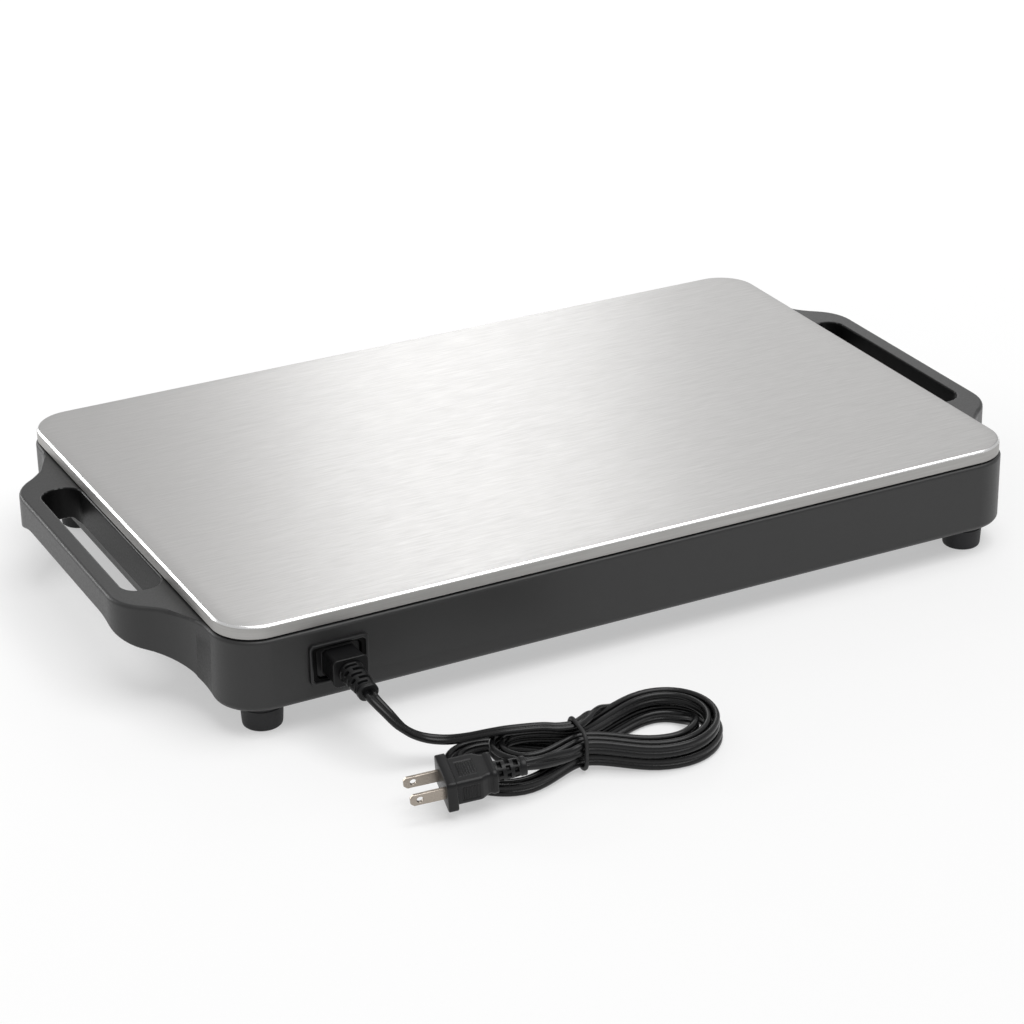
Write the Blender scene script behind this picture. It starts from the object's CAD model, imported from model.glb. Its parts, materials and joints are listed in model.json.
import json
from math import cos, pi, radians, sin

import bmesh
import bpy
import numpy as np
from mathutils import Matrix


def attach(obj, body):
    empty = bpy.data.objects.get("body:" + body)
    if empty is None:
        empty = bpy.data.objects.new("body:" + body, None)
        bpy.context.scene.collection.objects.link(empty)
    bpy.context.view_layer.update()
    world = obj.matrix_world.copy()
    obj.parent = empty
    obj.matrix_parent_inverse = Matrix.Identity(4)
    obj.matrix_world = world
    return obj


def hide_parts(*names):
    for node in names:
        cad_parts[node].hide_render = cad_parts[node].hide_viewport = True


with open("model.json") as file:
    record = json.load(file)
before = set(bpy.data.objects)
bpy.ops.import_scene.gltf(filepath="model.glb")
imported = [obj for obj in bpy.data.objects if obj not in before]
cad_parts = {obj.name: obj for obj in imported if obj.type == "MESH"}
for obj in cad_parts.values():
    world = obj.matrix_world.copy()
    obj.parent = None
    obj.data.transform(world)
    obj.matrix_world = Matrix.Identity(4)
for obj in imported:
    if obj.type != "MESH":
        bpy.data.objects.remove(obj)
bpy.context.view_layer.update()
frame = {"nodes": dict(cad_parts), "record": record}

# ---------- Camera ----------
# Where the photograph was taken from: a long lens, above and in front of the tray's left
# end and rolled by about a degree, solved from the straight edges of the deck.
LENS_MM, SENSOR_MM = 107.0986, 36
CAMERA_AT = (-0.67564, -1.3369, 0.72446)
CAMERA_TILT, CAMERA_ROLL, CAMERA_HEADING = 64.5522, 0.9424, -27.2051
lens = bpy.data.cameras.new("lens")
lens.lens = LENS_MM
lens.sensor_width = SENSOR_MM
camera = bpy.data.objects.new("camera", lens)
camera.location = CAMERA_AT
camera.rotation_euler = [radians(a) for a in (CAMERA_TILT, CAMERA_ROLL, CAMERA_HEADING)]
bpy.context.collection.objects.link(camera)
bpy.context.scene.camera = camera

# ---------- Cord ----------
# Flat twin mains cord, two stranded cores side by side in black PVC, drawn through a die
# that leaves a groove along each flat side. It is one piece from the connector's sleeve
# over the hank, down into it, a good four times round it in two layers, and to the plug.
CORD_WIDTH, CORD_THICK = 0.0066, 0.0033
CORE_ARC, CORE_POINTS = 146, 24
CONNECTOR_BACK = np.array([-170, -161, 34])
SLEEVE_LONG, SLEEVE_TILT = 20, radians(6)
# the hank lies here, in mm; a turn is once round it, and HANK_MID parts the two layers
HANK_AT, HANK_TURN = np.array([-89, -237, 0.0]), radians(-7)
HANK_FROM, HANK_MID, HANK_TO = -1 / 24, 2.25, 4.375
LAYER_CHANGE, NEAR_TURN, RINGS_A_TURN = 0.07, 1 / 24, 112
# from strand to strand, from layer to layer, and how far the first strand stands off
STRAND_STEP, LAYER_STEP, FIRST_STEP = 4.3, 7.7, 2
# the lobes' length and end radius in the upper layer, and what the lower one has more
REACH_RIGHT, REACH_LEFT, MORE_RIGHT, MORE_LEFT = 61, 31, 2, 21
ROUND_RIGHT, ROUND_LEFT, MORE_ROUND_LEFT = 16, 6.4, 7.8
# the waist's half width, how it rises and over what length, and how the lobes curve
WAIST_HALF, WAIST_RISE, WAIST_LONG, LOW_Z = 2, 2.2, 34, 3.4
BEND_RIGHT, BEND_LEFT, BEND_FROM = 0.11, 0.2, 15


def ease(t):
    """Smooth step from 0 to 1: 3 t squared less 2 t cubed, held at both ends."""
    t = np.clip(t, 0, 1)
    return t * t * (3 - 2 * t)


def unit(v):
    """Each vector divided by its own length."""
    return v / np.linalg.norm(v, axis=-1, keepdims=True)


def hank_world(p):
    """Points in the hank's own frame, turned about the vertical and moved to its place."""
    turn = np.array([[cos(HANK_TURN), -sin(HANK_TURN), 0],
                     [sin(HANK_TURN), cos(HANK_TURN), 0], [0, 0, 1]])
    return HANK_AT + np.asarray(p, float) @ turn.T


def hank_line(s):
    """The hank's centre line at turn s. A quarter of a turn is a smooth step from the waist
    outwards and then a quarter circle to the lobe's end, and the others mirror it. It is
    moved outwards by the strand's own offset, which grows with the turns from HANK_MID,
    and the turns below HANK_MID lie in the upper layer. The lobes curve with x squared."""
    f = s - np.floor(s)
    right = f < 0.5
    near = (f < 0.25) | (f >= 0.75)
    q = 4 * np.where(right, np.where(near, f, 0.5 - f), np.where(near, 1 - f, f - 0.5))
    depth = abs(HANK_MID - s)
    off = depth * STRAND_STEP + FIRST_STEP * ease(depth / 0.25)
    low = ease((s - HANK_MID + LAYER_CHANGE) / (2 * LAYER_CHANGE))
    reach = np.where(right, REACH_RIGHT + MORE_RIGHT * low, REACH_LEFT + MORE_LEFT * low)
    half = np.where(right, ROUND_RIGHT, ROUND_LEFT + MORE_ROUND_LEFT * low)
    u = np.minimum(2 * q, 1)
    arc = pi / 2 * np.maximum(2 * q - 1, 0)
    slope = (half + WAIST_HALF) * 6 * u * (1 - u) / (reach - half)
    run = np.sqrt(1 + slope ** 2)
    x = np.where(q < 0.5, u * (reach - half) - slope / run * off,
                 reach - half + (half + off) * np.sin(arc))
    y = np.where(q < 0.5, (half + WAIST_HALF) * ease(u) - WAIST_HALF + off / run,
                 (half + off) * np.cos(arc))
    bend = np.where(right, BEND_RIGHT, BEND_LEFT) * x * x / (abs(x) + BEND_FROM)
    z = LOW_Z + (1 - low) * LAYER_STEP + WAIST_RISE * (1 - ease(abs(x) / WAIST_LONG))
    return hank_world(np.stack([np.where(right, x, -x), np.where(near, -y, y) + bend, z], 1))


def through(points, steps):
    """Catmull-Rom curve through rows of numbers, steps rows from each to the next: a cubic
    that leaves each point along the line between its two neighbours."""
    p = np.asarray(points, float)
    a, b, c, d = p[np.r_[0, :len(p) - 2]], p[:-1], p[1:], p[np.r_[2:len(p), len(p) - 1]]
    t = np.arange(steps)[None, :, None] / steps
    a, b, c, d = (v[:, None] for v in (a, b, c, d))
    line = 0.5 * (2 * b + (c - a) * t + (2 * a - 5 * b + 4 * c - d) * t ** 2
                  + (3 * b - a - 3 * c + d) * t ** 3)
    return np.vstack([line.reshape(-1, p.shape[1]), p[-1:]])


def with_turn(points, turns):
    """Points with the cord's turn about its own line beside them, in degrees."""
    return np.column_stack([points, np.broadcast_to(turns, len(points))])


def set_mesh(mesh, verts, faces):
    """Fills a mesh with points and faces, smooth, and with its faces pointing outwards:
    the volume under all faces, summed with its sign, has to be above zero."""
    mesh.from_pydata(verts, [], faces)
    work = bmesh.new()
    work.from_mesh(mesh)
    if work.calc_volume(signed=True) < 0:
        bmesh.ops.reverse_faces(work, faces=work.faces)
    work.to_mesh(mesh)
    work.free()
    mesh.shade_smooth()


def skin(name, sheets, material, body, sharp=40, bands=None, round_rows=False):
    """A piece from sheets of points, rows by columns. Four neighbours make a face, each row
    is closed on itself, and the first and last rows are closed by a fan round their middle,
    or joined to each other where the rows go round. bands numbers each row's material."""
    verts, faces, kinds, start = [], [], [], 0
    for sheet in sheets:
        rows, cols = sheet.shape[:2]
        at = start + np.arange(rows * cols).reshape(rows, cols)
        if round_rows:
            at = np.vstack([at, at[:1]])
        nxt = np.roll(at, -1, 1)
        quads = np.stack([at[:-1], at[1:], nxt[1:], nxt[:-1]], 2).reshape(-1, 4)
        verts.append(sheet.reshape(-1, 3))
        faces += quads.tolist()
        band = np.zeros(len(at) + 1, int) if bands is None else np.asarray(bands)
        kinds.append(np.repeat(band[1:len(at)], cols))
        start += rows * cols
        if not round_rows:
            verts.append(sheet[[0, -1]].mean(1))
            for end, hub, kind in ((0, start, band[0]), (-1, start + 1, band[-1])):
                a, b = (nxt[end], at[end]) if end else (at[end], nxt[end])
                faces += np.stack([np.full(cols, hub), a, b], 1).tolist()
                kinds.append(np.full(cols, kind))
            start += 2
    mesh = bpy.data.meshes.new(name)
    set_mesh(mesh, np.vstack(verts), faces)
    mesh.polygons.foreach_set("material_index", np.concatenate(kinds).astype(np.int32))
    mesh.set_sharp_from_angle(angle=radians(sharp))
    for m in material if isinstance(material, list) else [material]:
        mesh.materials.append(m)
    piece = bpy.data.objects.new(name, mesh)
    bpy.context.collection.objects.link(piece)
    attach(piece, body)
    return piece


def srgb(code):
    """Hex colour, as a screen shows it, turned to linear light: divided by 12.92 near
    black, and elsewhere shifted by 0.055, scaled back to 1 and raised to 2.4."""
    c = np.array([int(code[i:i + 2], 16) for i in (1, 3, 5)]) / 255
    return (*np.where(c <= 0.04045, c / 12.92, ((c + 0.055) / 1.055) ** 2.4), 1)


def add(tree, kind, inputs=None, **settings):
    """Adds a node with its settings, and sets or links its inputs."""
    node = tree.nodes.new(kind)
    for key, value in settings.items():
        setattr(node, key, value)
    for key, value in (inputs or {}).items():
        if isinstance(value, bpy.types.NodeSocket):
            tree.links.new(value, node.inputs[key])
        else:
            node.inputs[key].default_value = value
    return node


# a mould's colour drifts in steps of about 36 mm, and by up to a sixth
DRIFT_SCALE, DRIFT_SHARE, GLOSS_SPREAD = 28, 0.16, 0.05


def moulded(name, colour, rough, grain, relief, cloud="#000000", level=0.5):
    """Plastic, rubber or fired clay from a mould: one colour that drifts a little towards
    cloud over some centimetres, and a pitted skin of `grain` mm, rougher in its pits,
    which are up to `relief` mm deep."""
    material = bpy.data.materials.new(name)
    material.use_nodes = True
    tree = material.node_tree
    tree.nodes.clear()
    place = add(tree, "ShaderNodeTexCoord").outputs["Object"]
    drift = add(tree, "ShaderNodeTexNoise",
                {"Vector": place, "Scale": DRIFT_SCALE, "Detail": 3})
    pits = add(tree, "ShaderNodeTexNoise",
               {"Vector": place, "Scale": 1000 / grain, "Detail": 2, "Roughness": 0.6})
    part = add(tree, "ShaderNodeMapRange",
               {"Value": drift.outputs[0], "From Min": 0.35, "From Max": 0.7,
                "To Min": 0.0, "To Max": DRIFT_SHARE})
    shade = add(tree, "ShaderNodeMix", {0: part.outputs[0], 6: srgb(colour), 7: srgb(cloud)},
                data_type="RGBA")
    gloss = add(tree, "ShaderNodeMapRange",
                {"Value": pits.outputs[0], "From Min": 0.3, "From Max": 0.7,
                 "To Min": rough - GLOSS_SPREAD, "To Max": rough + GLOSS_SPREAD})
    bump = add(tree, "ShaderNodeBump",
               {"Height": pits.outputs[0], "Strength": 0.5, "Distance": relief / 1000})
    shader = add(tree, "ShaderNodeBsdfPrincipled",
                 {"Base Color": shade.outputs[2], "Roughness": gloss.outputs[0], "IOR": 1.5,
                  "Specular IOR Level": level, "Normal": bump.outputs[0]})
    add(tree, "ShaderNodeOutputMaterial", {"Surface": shader.outputs[0]})
    return material


# the free end to the connector: out of its sleeve, down, over the hank and into it
lead_way = np.array([0, -cos(SLEEVE_TILT), -sin(SLEEVE_TILT)])
lead_start = CONNECTOR_BACK + lead_way * SLEEVE_LONG
STRAIGHT = 6.6
turns = np.linspace(HANK_TO, HANK_FROM, round((HANK_TO - HANK_FROM) * RINGS_A_TURN) + 1)
hank = hank_line(turns)
hank_ends = hank_line(np.array([HANK_TO, HANK_TO - NEAR_TURN,
                                HANK_FROM + NEAR_TURN, HANK_FROM]))
way_in = unit(hank_ends[1] - hank_ends[0])
way_out = unit(hank_ends[3] - hank_ends[2])
lead = through(np.vstack([
    with_turn(np.array([lead_start, lead_start + lead_way * STRAIGHT]), 0),
    with_turn([(-167, -194, 27), (-163, -198.5, 21.5), (-157.5, -200.5, 16.5),
               (-150.5, -202.5, 13), (-142.5, -206.5, 12), (-134.5, -212, 13.6),
               (-126, -217.5, 16.2), (-117.5, -222, 17.9)], 0),
    with_turn(hank_world([(-16, 7.1, 18.8), (-8, 3.8, 18.7), (0, 3.2, 18.6), (6, 6.8, 18.4),
                          (12, 12.8, 17.5), (18, 18.7, 14.6), (24, 23.2, 11.2),
                          (30, 27.6, 7.9), (35.5, 30.2, 5.2)]),
              [0, 0, 0, -6, -28, -58, -78, -86, -90]),
    with_turn(np.array([hank[0] - way_in * STRAIGHT + [0, 0, 0.3], hank[0]]), -90)]), 8)

# the free end to the plug, which lies on its lower edge, a little rolled and drooping
PLUG_AT, PLUG_LONG, PLUG_SLEEVE_LONG = np.array([-164, -245.4, 14]), 25, 15
PLUG_YAW, PLUG_DROOP, PLUG_ROLL = 168, 5, -10
yaw, droop, roll = radians(PLUG_YAW), radians(PLUG_DROOP), radians(PLUG_ROLL)
PLUG_AXES = (np.array([[cos(yaw), -sin(yaw), 0], [sin(yaw), cos(yaw), 0], [0, 0, 1]])
             @ np.array([[cos(droop), 0, sin(droop)], [0, 1, 0], [-sin(droop), 0, cos(droop)]])
             @ np.array([[1, 0, 0], [0, cos(roll), -sin(roll)], [0, sin(roll), cos(roll)]]))
plug_back = -PLUG_AXES[:, 0]
tail = through(np.vstack([
    with_turn(np.array([hank[-1], hank[-1] + way_out * STRAIGHT]), -90),
    with_turn(hank_world([(-24, -19, 16)]), -45),
    with_turn((PLUG_AT + plug_back * (PLUG_LONG + PLUG_SLEEVE_LONG))[None], PLUG_ROLL)]), 10)
line = np.vstack([lead[:-1], with_turn(hank, -90), tail[1:]])
route, turn = line[:, :3] / 1000, np.radians(line[:, 3:])
ahead = unit(np.vstack([lead_way, route[2:] - route[:-2], -plug_back]))
flat = unit(np.array([0, 0, 1]) - ahead[:, 2:] * ahead)
up = flat * np.cos(turn) + np.cross(ahead, flat) * np.sin(turn)
side = np.cross(up, ahead)
# the section is two round cores that run into each other; the groove lies where they meet
core = CORD_THICK / 2
a = np.radians(np.linspace(-CORE_ARC, CORE_ARC, CORE_POINTS))
across = (CORD_WIDTH / 2 - core) + core * np.cos(a)
across = np.concatenate([across, -across])
over = core * np.concatenate([np.sin(a), -np.sin(a)])
cord_skin = (route[:, None] + side[:, None] * across[:, None] + up[:, None] * over[:, None])
# soft black PVC: dark, and glossy enough to show a long light line on each core
cord_pvc = moulded("extruded_pvc", "#0d0d0e", 0.27, 0.35, 0.003, "#151516", 0.34)
cord = skin("twin_cord", [cord_skin], cord_pvc, "cord_set")
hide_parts("cord_lead", "cord_hank", "cord_tail")

# ---------- Cord tie ----------
# A round elastic ring of black rubber that holds the strands together at the waist,
# moulded in one piece and stretched over the bundle.
TIE_HALF_WIDE, TIE_HALF_HIGH, TIE_BEND, TIE_R = 11.45, 9.95, 6, 1.0
TIE_MID = np.array([0, -1.075, 11.05])


def rounded_loop(half_a, half_b, corner, arc, straight=0):
    """Rounded rectangles, one a row: a quarter circle at each corner, with points added
    along the straights; also the outward direction at each point."""
    half_a, half_b, corner = (np.atleast_1d(np.asarray(v, float))[:, None]
                              for v in (half_a, half_b, corner))
    corner = np.broadcast_to(corner, (max(len(half_a), len(half_b), len(corner)), 1))
    points, outward = [], []
    for k, (sx, sy) in enumerate(((1, 1), (-1, 1), (-1, -1), (1, -1))):
        t = pi / 2 * (k + np.linspace(0, 1, arc + 1))
        points.append(np.stack([sx * (half_a - corner) + corner * np.cos(t),
                                sy * (half_b - corner) + corner * np.sin(t)], 2))
        outward.append(np.stack([np.cos(t), np.sin(t)], 1))
        if straight:
            nx, ny = ((-1, 1), (-1, -1), (1, -1), (1, 1))[k]
            end = points[-1][:, -1:]
            t = pi / 2 * (k + 1)
            to = np.stack([nx * (half_a - corner) + corner * cos(t),
                           ny * (half_b - corner) + corner * sin(t)], 2)
            f = (np.arange(1, straight + 1) / (straight + 1))[None, :, None]
            points.append(end + (to - end) * f)
            outward.append(np.tile([cos(t), sin(t)], (straight, 1)))
    return np.concatenate(points, 1), np.concatenate(outward)


ring, ring_out = rounded_loop(TIE_HALF_WIDE, TIE_HALF_HIGH, TIE_BEND, 10, 8)
t = np.linspace(0, 2 * pi, 20, endpoint=False)
ring_yz = ring[0][:, None] + ring_out[:, None] * TIE_R * np.cos(t)[:, None]
ring_x = np.broadcast_to(TIE_R * np.sin(t), ring_yz.shape[:2])
tie_skin = hank_world(np.dstack([ring_x, ring_yz[..., 0], ring_yz[..., 1]]) + TIE_MID) / 1000
# natural rubber: matte and a little dusty
tie_rubber = moulded("elastic_rubber", "#151515", 0.55, 0.6, 0.03, "#26262a")
tie = skin("tie_ring", [tie_skin], tie_rubber, "cord_set", round_rows=True)
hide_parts("cord_tie")

# ---------- Connector ----------
# The moulded block that is pushed into the inlet: two brass contacts cast into black PVC,
# with a thin collar at its back that the fingers pull on. Its edges are eased.
WELD, SAME_PLANE, EDGE_TURN = 2e-6, radians(0.3), radians(38)
CONNECTOR_EDGE, SOCKET_SIDE = 0.5, -128


def softened(node, name, materials, width, chosen, inner=None):
    """A node's own shape with its loose triangles welded and flat neighbours joined. Of
    the edges that turn by 38 degrees or more, those whose middle is chosen are rounded
    over `width` mm. Faces whose middle is inner take the second material."""
    work = bmesh.new()
    work.from_mesh(frame["nodes"][node].data)
    bmesh.ops.remove_doubles(work, verts=work.verts, dist=WELD)
    bmesh.ops.dissolve_limit(work, angle_limit=SAME_PLANE, verts=work.verts,
                             edges=work.edges)
    work.verts.index_update()
    verts = [v.co[:] for v in work.verts]
    faces = [[v.index for v in f.verts] for f in work.faces]
    work.free()
    mesh = bpy.data.meshes.new(name)
    set_mesh(mesh, verts, faces)
    for material in materials:
        mesh.materials.append(material)
    if inner:
        place = np.empty(3 * len(mesh.polygons))
        mesh.polygons.foreach_get("center", place)
        mesh.polygons.foreach_set("material_index",
                                  inner(*1000 * place.reshape(-1, 3).T).astype(np.int32))
    work = bmesh.new()
    work.from_mesh(mesh)
    turned = np.array([e.calc_face_angle(0) for e in work.edges])
    middle = 500 * np.array([e.verts[0].co + e.verts[1].co for e in work.edges])
    work.free()
    soft = mesh.attributes.new("bevel_weight_edge", "FLOAT", "EDGE")
    soft.data.foreach_set("value", ((turned > EDGE_TURN) & chosen(*middle.T)).astype(float))
    piece = bpy.data.objects.new(name, mesh)
    bpy.context.collection.objects.link(piece)
    rounding = piece.modifiers.new("rounding", "BEVEL")
    rounding.width = width / 1000
    rounding.segments = 3
    rounding.limit_method = "WEIGHT"
    rounding.use_clamp_overlap = False
    even = piece.modifiers.new("even", "WEIGHTED_NORMAL")
    even.keep_sharp = True
    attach(piece, next(b for b, own in frame["record"]["behaviour"]["bodies"].items()
                        if node in own))
    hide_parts(node)


# moulded PVC: spark-textured, satin
plug_pvc = moulded("moulded_pvc", "#0f0f10", 0.36, 0.6, 0.02, "#18181a", 0.3)
# what stays in the socket keeps its sharp edges
softened("connector_body", "connector_block", [plug_pvc], CONNECTOR_EDGE,
         lambda x, y, z: y < SOCKET_SIDE)

# ---------- Strain reliefs ----------
# Tapered sleeves of the same PVC, moulded over the cord: slots are left out between the
# ribs, in turn to the one side and the other, so that the sleeve bends evenly.
RINGS, COLLAR_LONG, COLLAR_FROM, SLOTS_END = 120, 3, 3.1, 3.4
COLLAR_STEP, COLLAR_SOFT, END_R = 0.3, 0.4, 0.5
SLOT_DEEP, SLOT_MID, SLOT_HALF, SLOT_SOFT = 1.7, 0.6, 0.28, 0.1
BAR_HALF, BAR_SOFT, CORNER_SHARE = 0.5, 0.35, 0.96


def strain_relief(name, node, origin, axes, length, large, small, slots, windows):
    """Rings of a tapering rounded outline along the sleeve. In a slot the skin sinks by
    1.7 mm, except at the bars between its windows; the bars of one slot stand between
    those of the next. The last 3 mm are a plain collar with a rounded end."""
    s = np.concatenate([np.linspace(0, length - 3.2, RINGS), length - np.array(
        [3.1, 3, 2.9, 2.7, 1.5, 0.5, 0.25, 0.08, 0])])
    share = np.clip(s / (length - COLLAR_LONG), 0, 1)
    collar = COLLAR_STEP * ease((s - length + COLLAR_FROM) / COLLAR_SOFT)
    to_end = np.clip((s - length + END_R) / END_R, 0, 1)
    edge = END_R * (1 - np.sqrt(np.clip(1 - to_end ** 2, 0, 1)))
    half = [(a + (b - a) * share) / 2 + collar - edge for a, b in zip(large, small)]
    loop, out = rounded_loop(half[0], half[1], half[1] * CORNER_SHARE, 30, 4)
    angle = np.arctan2(out[:, 1], out[:, 0])
    place = s / ((length - SLOTS_END) / slots)
    k = np.floor(place)
    in_slot = ease((SLOT_HALF - abs(place - k - SLOT_MID)) / SLOT_SOFT) * (k < slots)
    bars = np.cos(windows * angle[None] + pi * k[:, None])
    deep = SLOT_DEEP * in_slot[:, None] * ease((BAR_HALF - bars) / BAR_SOFT)
    loop = loop - out * deep[..., None]
    local = np.dstack([np.broadcast_to(s[:, None], loop.shape[:2]), loop])
    piece = skin(name, [(origin + local @ axes) / 1000], plug_pvc, "cord_set",
                 sharp=50)
    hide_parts(node)
    return piece


relief_axes = np.array([lead_way, [1, 0, 0], [0, -sin(SLEEVE_TILT), cos(SLEEVE_TILT)]])
strain_relief("connector_relief", "connector_sleeve", CONNECTOR_BACK, relief_axes,
              SLEEVE_LONG, (13, 11), (10, 8), 5, 5)
plug_relief = strain_relief(
    "plug_relief", "plug_sleeve", PLUG_AT + plug_back * PLUG_LONG,
    np.array([plug_back, PLUG_AXES[:, 1], PLUG_AXES[:, 2]]), PLUG_SLEEVE_LONG,
    (10.5, 9.5), (9, 8), 3, 7)

# ---------- Plug ----------
# The moulded plug: a front flange, a grip with a framed panel of fine ribs on each of its
# four faces, a waist and a rear collar, all one shot of PVC over the blades' feet.
stations = np.array([
    # front to back: along, half width, half height, corner, rows to the next
    (0.00, 11.3, 7.8, 1.3, 2), (-0.15, 11.75, 8.25, 1.75, 2), (-0.6, 12, 8.5, 2, 2),
    (-4.4, 12, 8.5, 2, 2), (-4.8, 11.8, 8.3, 1.8, 2), (-5, 11.4, 7.9, 1.5, 2),
    (-5.05, 10.5, 7.2, 1.9, 2), (-5.4, 10, 6.7, 2, 8), (-6.8, 10, 6.7, 2, 70),
    (-16.2, 10, 6.7, 2, 6), (-17.2, 9.8, 6.6, 2, 6), (-20, 8.3, 6.25, 2, 4),
    (-21.4, 8, 6.2, 2, 4), (-22.4, 8.6, 6.5, 2.4, 2), (-22.7, 9, 6.7, 2.8, 2),
    (-24.4, 9, 6.7, 3, 2), (-24.85, 8.8, 6.5, 2.9, 2), (-25, 8.2, 5.9, 2.6, 1)])
# the panels: middle and half length, half width above and beside, frame, depth, rib pitch
PANEL_MID, PANEL_HALF, PANEL_TOP, PANEL_SIDE = 11.5, 4.3, 5.2, 4.0
PANEL_FRAME, PANEL_DEEP, RIB_PITCH, RIB_STEEP, RIB_LEVEL = 0.5, 0.34, 1.25, 1.6, 0.3
rows = np.vstack([np.linspace(p, q, int(p[4]), endpoint=False)
                  for p, q in zip(stations[:-1], stations[1:])] + [stations[-1:]])
loop, out = rounded_loop(rows[:, 1], rows[:, 2], rows[:, 3], 5, 40)
along = rows[:, :1]


def window(v, half, soft=0.18):
    """1 where v lies within half of 0, 0 outside, with a soft edge."""
    return ease((half - abs(v)) / soft + 0.5)


# the panels lie on the flat faces only, where the outward direction is one axis
sunk = 0
for face, reach in ((1, PANEL_TOP), (0, PANEL_SIDE)):
    v = loop[..., 1 - face]
    panel = window(along + PANEL_MID, PANEL_HALF) * window(v, reach)
    inner = window(along + PANEL_MID, PANEL_HALF - PANEL_FRAME) * window(v, reach - PANEL_FRAME)
    rib = 0.5 + 0.5 * np.cos(2 * pi * (along + PANEL_MID) / RIB_PITCH)
    sunk = sunk + (abs(out[:, face]) > 0.999) * (
        PANEL_DEEP * (panel - inner)
        + PANEL_DEEP * inner * ease(rib * RIB_STEEP - RIB_LEVEL))
loop = loop - out * sunk[..., None]
local = np.dstack([np.broadcast_to(along, loop.shape[:2]), loop])
plug = skin("plug_grip", [(PLUG_AT + local @ PLUG_AXES.T) / 1000], plug_pvc, "cord_set",
            sharp=55)
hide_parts("plug_body")

# ---------- Plug blades ----------
# Two flat brass blades, blanked with bevelled tips and a round hole, then nickel plated.
# The plug is moulded over their feet, and their edges are a little rounded by tumbling.
BLADE_L, BLADE_W, BLADE_T, BLADE_GAP = 16.5, 6.35, 1.5, 12.7
BLADE_FOOT, BLADE_TIP = 12, 1.6
HOLE_AT, HOLE_R, BURR = 11.9, 1.55, 0.14
outline = np.array([(-BLADE_FOOT, -BLADE_W / 2), (BLADE_L - BLADE_TIP, -BLADE_W / 2),
                    (BLADE_L, BLADE_TIP - BLADE_W / 2), (BLADE_L, BLADE_W / 2 - BLADE_TIP),
                    (BLADE_L - BLADE_TIP, BLADE_W / 2), (-BLADE_FOOT, BLADE_W / 2)])
# the outline as a reach from the hole's middle at each angle, its corners among them
rim = outline - [HOLE_AT, 0]
corner_angles = np.arctan2(rim[:, 1], rim[:, 0])
t = np.unique(np.concatenate([np.linspace(-pi, pi, 96, endpoint=False), corner_angles]))
edge = np.roll(rim, -1, 0) - rim
outward = unit(np.stack([edge[:, 1], -edge[:, 0]], 1))
facing = np.stack([np.cos(t), np.sin(t)], 1) @ outward.T
with np.errstate(divide="ignore"):
    reach = np.where(facing > 1e-6, (outward * rim).sum(1) / facing, np.inf).min(1)
# rings from the hole over one face, the rim, the other face and back through the hole
rings = [(HOLE_R + BURR, 1), (reach - BURR, 1), (reach, 1 - BURR * 2), (reach, BURR * 2 - 1),
         (reach - BURR, -1), (HOLE_R + BURR, -1), (HOLE_R, BURR * 2 - 1),
         (HOLE_R, 1 - BURR * 2)]
blades = []
for s in (-1, 1):
    middle = s * BLADE_GAP / 2
    rows = np.array([np.stack([HOLE_AT + r * np.cos(t),
                               np.full(len(t), middle + level * BLADE_T / 2),
                               r * np.sin(t)], 1) for r, level in rings])
    blades.append((PLUG_AT + rows @ PLUG_AXES.T) / 1000)


def worked_metal(name, colour, rough, line_mm, drawn, dark="#000000", share=0.12,
                 spread=0.06, relief=0.004, grain=None, stretch=0.0):
    """Metal with the fine lines that rolling, brushing or blanking leaves along one axis:
    noise drawn out along that axis moves its colour, its roughness and its height. Where
    a grain map is named, its lights are stretched across the lines too."""
    material = bpy.data.materials.new(name)
    material.use_nodes = True
    tree = material.node_tree
    tree.nodes.clear()
    place = add(tree, "ShaderNodeTexCoord").outputs["Object"]
    fine = add(tree, "ShaderNodeMapping", {"Vector": place, "Scale": drawn})
    lines = add(tree, "ShaderNodeTexNoise", {"Vector": fine.outputs[0], "Detail": 3,
                                             "Scale": 1000 / line_mm, "Roughness": 0.65})
    part = add(tree, "ShaderNodeMapRange",
               {"Value": lines.outputs[0], "From Min": 0.3, "From Max": 0.7,
                "To Min": 0.0, "To Max": share})
    shade = add(tree, "ShaderNodeMix", {0: part.outputs[0], 6: srgb(colour), 7: srgb(dark)},
                data_type="RGBA")
    gloss = add(tree, "ShaderNodeMapRange",
                {"Value": lines.outputs[0], "From Min": 0.3, "From Max": 0.7,
                 "To Min": rough - spread, "To Max": rough + spread})
    bump = add(tree, "ShaderNodeBump",
               {"Height": lines.outputs[0], "Strength": 0.4, "Distance": relief / 1000})
    shader = add(tree, "ShaderNodeBsdfPrincipled",
                 {"Base Color": shade.outputs[2], "Metallic": 1.0,
                  "Roughness": gloss.outputs[0], "Normal": bump.outputs[0]})
    if grain:
        shader.inputs["Anisotropic"].default_value = stretch
        along_grain = add(tree, "ShaderNodeTangent", direction_type="UV_MAP", uv_map=grain)
        tree.links.new(along_grain.outputs[0], shader.inputs["Tangent"])
    add(tree, "ShaderNodeOutputMaterial", {"Surface": shader.outputs[0]})
    return material


# nickel over brass: warm grey, satin from tumbling
nickel = worked_metal("tumbled_nickel", "#a89f95", 0.30, 0.5, (0.4, 1, 1), dark="#5f574e")
prongs = skin("plug_prongs", blades, nickel, "cord_set", sharp=30, round_rows=True)
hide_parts("plug_blades")

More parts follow.
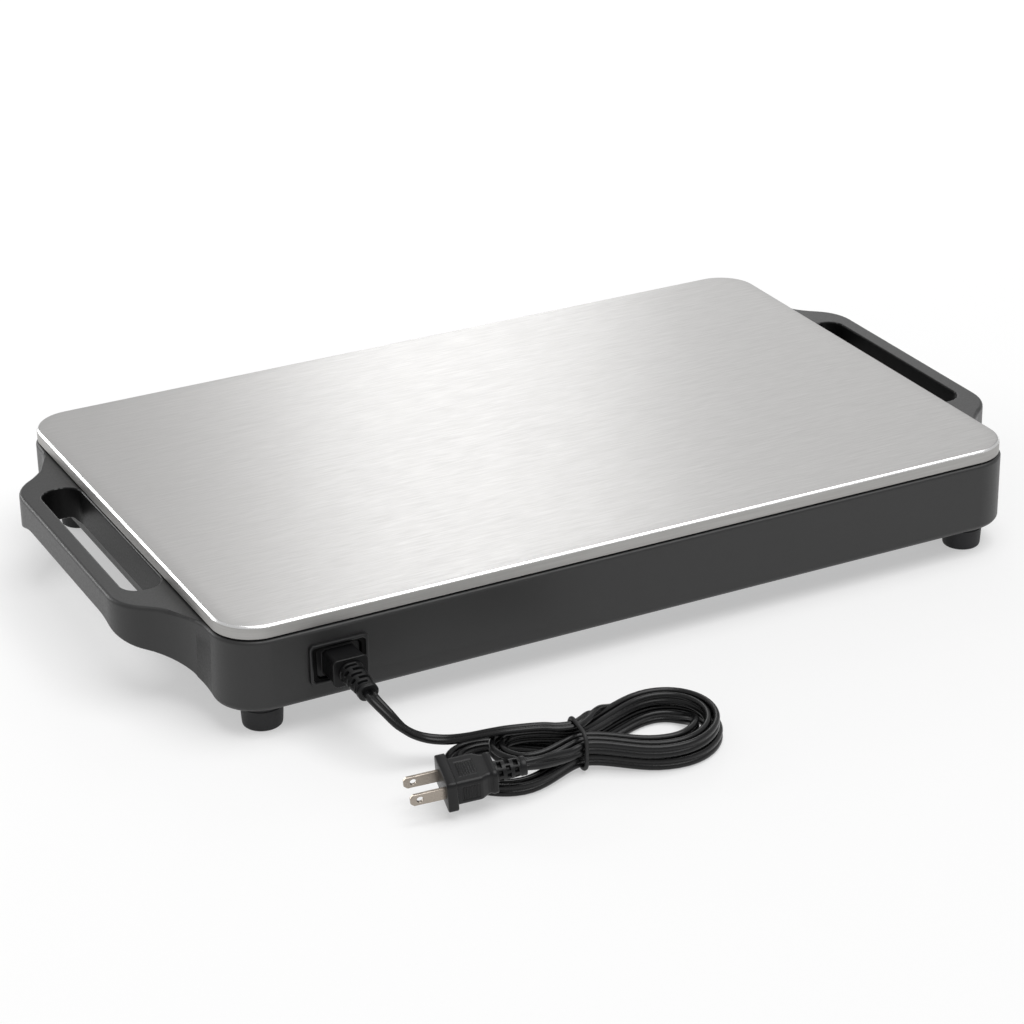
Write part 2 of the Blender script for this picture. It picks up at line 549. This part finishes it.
# ---------- Deck ----------
# One sheet of stainless steel, 1.5 mm, folded down 7 mm all round. Its face is brushed
# along its length, and its upper edge is cut to a bright bevel after brushing.
DECK_L, DECK_W, DECK_R = 450, 290, 22
deck_rows = np.array([
    # offset from the outline, height, material of the strip below
    (-9.0, 58.80, 1), (-2.46, 58.80, 1), (-1.5, 57.84, 1), (-1.5, 53.5, 1), (-1.3, 53.3, 1),
    (-0.5, 53.30, 1), (-0.22, 53.37, 1), (-0.06, 53.55, 1), (0, 53.80, 1), (0, 56.0, 1),
    (0, 58.95, 1), (-0.03, 59.10, 1), (-0.10, 59.24, 1), (-0.92, 60.06, 2),
    (-1.1, 60.19, 2), (-1.3, 60.27, 0), (-1.6, 60.30, 0), (-9.0, 60.30, 0)])
loop, _ = rounded_loop(DECK_L / 2 + deck_rows[:, 0], DECK_W / 2 + deck_rows[:, 0],
                       DECK_R + deck_rows[:, 0], 24)
height = np.broadcast_to(deck_rows[:, 1][:, None, None], (*loop.shape[:2], 1))
deck_skin = np.concatenate([loop, height], 2) / 1000
# brushed stainless: the lines run along the deck, so a lamp is drawn out across them;
# folded: bare rolled sheet, duller; bright cut: almost a mirror, a white line in the light
brushed = worked_metal(
    "brushed_stainless", "#bebdbc", 0.36, 0.5, (0.035, 1, 1), dark="#949392", share=0.35,
    spread=0.05, relief=0.0015, grain="grain", stretch=0.75)
folded = worked_metal("folded_stainless", "#b4b3b1", 0.56, 0.9, (0.02, 0.02, 1),
                      dark="#a3a19e", share=0.3)
bright_cut = worked_metal("bright_cut_stainless", "#f2f2f2", 0.22, 0.5, (0.2, 0.2, 1),
                          dark="#d0d0d0")
deck = skin("deck_skin", [deck_skin], [brushed, folded, bright_cut], "tray",
            sharp=30, bands=[1, *deck_rows[1:, 2].astype(int), 0])
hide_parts("top_plate")
# the grain map runs across the deck in u and along it in v, as the brush did
grain = deck.data.uv_layers.new(name="grain")
corner_vert = np.empty(len(deck.data.loops), int)
deck.data.loops.foreach_get("vertex_index", corner_vert)
co = np.empty(3 * len(deck.data.vertices))
deck.data.vertices.foreach_get("co", co)
co = co.reshape(-1, 3)[corner_vert]
grain.data.foreach_set("uv", np.stack([co[:, 1] + co[:, 2], co[:, 0]], 1).ravel())

# ---------- Seal ----------
# A flat ring of black silicone between the folded edge and the housing; only its edge
# shows, as a dark line.


def finish(material, *nodes):
    """CAD pieces of these names keep their own shape and take the material."""
    for node in nodes:
        for slot in frame["nodes"][node].material_slots:
            slot.material = material


# silicone cut from sheet: dull, almost black
finish(moulded("cut_silicone", "#101010", 0.7, 1.2, 0.03, "#1c1c1c", 0.25), "deck_seal")

# ---------- Housing ----------
# ABS shell from one mould: skirt, two flared handles with grip slots, arches below them.
# The tool is spark-eroded, which leaves a fine matte grain; the handles' edges are eased.
HOUSING_EDGE = 1.1
BAR_FROM, FLARE_HALF, RIM_Z, SHOULDER_Z = 228, 141, 14.6, 50
MOUTH_FROM, MOUTH_HALF = 224, 67
WALL_FROM, WALL_TO, WALL_HALF, WALL_LOW, WALL_TOP = 225.2, 247, 66.3, 15, 52.4


def handle_edge(x, y, z):
    """Edges of the handle's bar and arch, up to its flares and above the housing's rim,
    and of the grip slot's mouth."""
    bar = (abs(x) > BAR_FROM) & (abs(y) < FLARE_HALF) & (z > RIM_Z)
    mouth = (abs(x) > MOUTH_FROM) & (abs(y) < MOUTH_HALF) & (z > SHOULDER_Z)
    return bar & ((z < SHOULDER_Z) | (abs(y) < MOUTH_HALF)) | mouth


def slot_wall(x, y, z):
    """Faces inside a grip slot, from just under its mouth down to the arch."""
    return ((abs(x) > WALL_FROM) & (abs(x) < WALL_TO) & (abs(y) < WALL_HALF)
            & (z > WALL_LOW) & (z < WALL_TOP))


# charcoal ABS: dark and matte, so that grazing light greys its upper faces
abs_plastic = moulded("spark_textured_abs", "#2a2a2a", 0.4, 1.1, 0.04, "#323233", 0.46)
# the core that leaves the grip slots is polished, so their walls are darker
core_face = moulded("core_polished_abs", "#131313", 0.4, 1.1, 0.01, "#181819", 0.12)
softened("base_shell", "housing_shell", [abs_plastic, core_face],
         HOUSING_EDGE, handle_edge, slot_wall)

# ---------- Feet ----------
# Four tapered feet of black rubber, each held by a screw in a recess in its sole; the
# lower edge is rounded and a shallow groove runs round below the housing.
FOOT_X, FOOT_Y, FOOT_POINTS = 204, 129, 64
foot_rows = np.array([
    # radius, height
    (2.0, 6.0), (4.0, 6.0), (4.2, 5.8), (4.2, 0.3), (4.5, 0), (8.9, 0), (9.4, 0.12),
    (9.8, 0.5), (10.0, 1.1), (10.15, 2.5), (10.55, 9.5), (10.6, 10.6), (10.2, 10.9),
    (10.2, 11.5), (10.65, 11.8), (10.75, 12.4), (10.75, 14)])
# natural rubber, moulded: dull black, lighter where it is worn
foot_rubber = moulded("moulded_rubber", "#202021", 0.6, 1.0, 0.05, "#34343a", 0.4)
t = np.linspace(0, 2 * pi, FOOT_POINTS, endpoint=False)
loop = foot_rows[:, :1, None] * np.stack([np.cos(t), np.sin(t)], 1)
height = np.broadcast_to(foot_rows[:, 1][:, None, None], (*loop.shape[:2], 1))
for node, sx, sy in (("foot_front_left", -1, -1), ("foot_front_right", 1, -1),
                     ("foot_rear_left", -1, 1), ("foot_rear_right", 1, 1)):
    foot_skin = (np.concatenate([loop, height], 2) + [sx * FOOT_X, sy * FOOT_Y, 0]) / 1000
    foot = skin(node.replace("foot", "rubber_foot"), [foot_skin], foot_rubber, "tray")
    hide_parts(node)

# ---------- Inlet ----------
# Appliance inlet of black nylon, pushed in from outside: a flange with a raised rim, and
# behind it the socket that takes the connector.
INLET = np.array([-170, -146, 34])
inlet_rows = np.array([
    # along y, half width, half height, corner
    (26, 13.3, 9.3, 1.3), (25.8, 13.5, 9.5, 1.5), (0.0, 13.5, 9.5, 1.5),
    (0.0, 15.5, 10.8, 2.5), (-1.5, 15.5, 10.8, 2.5), (-1.85, 15.35, 10.65, 2.35),
    (-2.0, 15.0, 10.3, 2.0), (-2.0, 14.2, 9.5, 2.0), (-1.85, 13.95, 9.25, 1.9),
    (-1.45, 13.8, 9.1, 1.8), (-1.4, 12.4, 8.7, 2.6), (-1.2, 11.9, 8.2, 2.6),
    (-0.6, 11.7, 8.0, 2.5), (21.8, 11.7, 8.0, 2.5), (22.0, 11.5, 7.8, 2.3)])
FLANGE_ROWS, SOCKET_ROWS = 10, 6
loop, _ = rounded_loop(inlet_rows[:, 1], inlet_rows[:, 2], inlet_rows[:, 3], 8)
depth = np.broadcast_to(inlet_rows[:, 0][:, None, None], (*loop.shape[:2], 1))
inlet_skin = (np.concatenate([loop[..., :1], depth, loop[..., 1:]], 2) + INLET) / 1000
# glass-filled nylon: black and satin outside, dull and darker in the deep socket
nylon = moulded("moulded_nylon", "#161617", 0.34, 0.8, 0.03, "#222224")
socket_face = moulded("socket_nylon", "#070707", 0.6, 0.8, 0.01, "#0b0b0b", 0.1)
inlet = skin("inlet_socket", [inlet_skin], [nylon, socket_face], "tray",
             sharp=35, bands=[0] * FLANGE_ROWS + [1] * SOCKET_ROWS)
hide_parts("inlet_body")

# ---------- Cover, screws and sheet-metal parts ----------
# The vented cover under the housing, the pan over it, the straps, studs, nuts and screws
# that hold all together and the thermostat's case: pressed or turned steel, zinc plated.
# zinc plate: blue-grey, brighter and duller in rolled streaks
finish(worked_metal("zinc_plated_steel", "#b9bcc0", 0.33, 1.5, (0.2, 1, 1), dark="#7d8188"),
       "bottom_cover", "heat_shield", "cover_screws", "foot_screws", "shield_screws",
       "deck_studs", "deck_nuts", "element_straps", "thermostat")

# ---------- Heater ----------
# A rolled aluminium plate under the deck spreads the heat of a steel-sheathed element,
# which is laid to and fro below it in six runs and held by straps.
# mill finish: pale, with rolling lines
finish(worked_metal("rolled_aluminium", "#c9cacc", 0.36, 1.5, (0.1, 1, 1), dark="#9a9b9e"),
       "heat_spreader")
# the sheath is blued and dulled by heat
finish(worked_metal("heat_dulled_steel", "#5e5852", 0.5, 3, (0.3, 1, 1), dark="#2f2b2a",
                    share=0.5), "heating_element")

# ---------- Contacts and pins ----------
# Two brass sleeves cast into the connector, and the nickel-plated pins of the inlet that
# they slide over; both are drawn, so their lines run along them.
finish(worked_metal("drawn_brass", "#c9a45c", 0.3, 0.6, (1, 0.2, 1), dark="#8d6d34"),
       "connector_contacts")
finish(worked_metal("plated_pins", "#b9b0a8", 0.28, 0.5, (1, 0.3, 1), dark="#7c746b"),
       "inlet_pins")

# ---------- Insulation ----------
# Steatite beads, fuse and terminal block, pressed and fired, and a blanket of ceramic
# fibre that lies in the pan below the element.
# steatite: cream, dense and half dull; the fibre: off-white, dull and loose
finish(moulded("fired_steatite", "#e4dfd2", 0.55, 0.7, 0.03, "#c9c0ac"),
       "element_terminals", "thermal_fuse", "terminal_block")
finish(moulded("ceramic_fibre", "#e2e0da", 0.9, 2.5, 0.6, "#bdb8ac", 0.1),
       "insulation_blanket")

# ---------- Wiring ----------
# Stranded wires in brown and white PVC, extruded, soldered to the inlet's tabs and led
# over the terminal block, fuse and thermostat to the element.
finish(moulded("brown_wire_pvc", "#5b3a24", 0.4, 0.8, 0.02, "#3b2415"),
       "live_wire", "feed_wire", "fuse_wire", "element_wire")
finish(moulded("white_wire_pvc", "#dcdad4", 0.4, 0.8, 0.02, "#bdb9b0"), "neutral_wire")

# ---------- Floor and light ----------
# A white table top that runs out of view, under soft light: a wide lamp overhead, two
# tall ones behind that the deck mirrors as a bright band, a low one behind on the left
# that grazes the edges, and an even white room.
TABLE_HALF, TABLE_Z, PAPER_SHARE = 6, -0.0002, 0.45
# name, place, width and height in metres, watts
BOX_LAMPS = (("behind", (0.98, 2.1, 1.15), (0.46, 1.6), 5),
             ("behind_right", (1.5, 1.85, 1.1), (0.7, 1.4), 1.6),
             ("rim", (-1.2, 1.8, 0.65), (1.2, 0.6), 11))
OVERHEAD_FROM, OVERHEAD_WIDE, OVERHEAD_POWER = (0.2, -0.2, 1), 54, 1.98
ROOM_LIGHT, ROOM_SEEN, ROOM_MIRRORED = 0.32, 1.0, 0.36
WHITE = srgb("#ffffff")


def paper_white(name, level):
    """White paper: lit and shaded as it is, and seen partly at its own white."""
    material = bpy.data.materials.new(name)
    material.use_nodes = True
    tree = material.node_tree
    tree.nodes.clear()
    ray = add(tree, "ShaderNodeLightPath").outputs
    seen = add(tree, "ShaderNodeMath", {0: ray["Is Camera Ray"], 1: ray["Is Glossy Ray"]},
               operation="MAXIMUM")
    seen = add(tree, "ShaderNodeMath", {0: seen.outputs[0], 1: ray["Is Transmission Ray"]},
               operation="MAXIMUM")
    seen = add(tree, "ShaderNodeMath", {0: seen.outputs[0], 1: level}, operation="MULTIPLY")
    paper = add(tree, "ShaderNodeBsdfDiffuse", {"Color": srgb("#fcfcfc")})
    white = add(tree, "ShaderNodeEmission", {"Color": WHITE, "Strength": 1.0})
    both = add(tree, "ShaderNodeMixShader",
               {0: seen.outputs[0], 1: paper.outputs[0], 2: white.outputs[0]})
    add(tree, "ShaderNodeOutputMaterial", {"Surface": both.outputs[0]})
    return material


def aimed(light, at):
    """Puts a lamp in the scene, shining from `at` to the frame's origin: tilted by the
    angle from the vertical, and headed by the angle round it and a quarter turn."""
    away = unit(np.array(at))
    light.rotation_euler = (np.arccos(away[2]), 0, np.arctan2(away[1], away[0]) + pi / 2)
    bpy.context.collection.objects.link(light)


table = bpy.data.meshes.new("table")
table.from_pydata([(x * TABLE_HALF, y * TABLE_HALF, TABLE_Z)
                   for x, y in ((-1, -1), (1, -1), (1, 1), (-1, 1))], [], [(0, 1, 2, 3)])
table.materials.append(paper_white("white_paper", PAPER_SHARE))
floor = bpy.data.objects.new("table", table)
bpy.context.collection.objects.link(floor)

for name, at, size, power in BOX_LAMPS:
    lamp = bpy.data.lights.new(name, "AREA")
    lamp.shape = "RECTANGLE"
    lamp.size, lamp.size_y = size
    lamp.energy = power
    light = bpy.data.objects.new(name, lamp)
    light.location = at
    aimed(light, at)
overhead = bpy.data.lights.new("overhead", "SUN")
overhead.angle = radians(OVERHEAD_WIDE)
overhead.energy = OVERHEAD_POWER
aimed(bpy.data.objects.new("overhead", overhead), OVERHEAD_FROM)

# the room is plain white where the camera sees it, and dimmer in mirrors and as a light
world = bpy.data.worlds.new("room")
bpy.context.scene.world = world
world.use_nodes = True
room = world.node_tree
room.nodes.clear()
ray = add(room, "ShaderNodeLightPath").outputs
gloss = add(room, "ShaderNodeMath", {0: ray["Is Glossy Ray"], 1: ROOM_MIRRORED},
            operation="MULTIPLY")
seen = add(room, "ShaderNodeMath", {0: ray["Is Camera Ray"], 1: gloss.outputs[0]},
           operation="MAXIMUM")
seen = add(room, "ShaderNodeMath", {0: seen.outputs[0], 1: ray["Is Transmission Ray"]},
           operation="MAXIMUM")
strength = add(room, "ShaderNodeMapRange",
               {"Value": seen.outputs[0], "To Min": ROOM_LIGHT, "To Max": ROOM_SEEN})
sky = add(room, "ShaderNodeBackground", {"Color": WHITE, "Strength": strength.outputs[0]})
add(room, "ShaderNodeOutputWorld", {"Surface": sky.outputs[0]})

bpy.context.scene.view_settings.view_transform = "Standard"
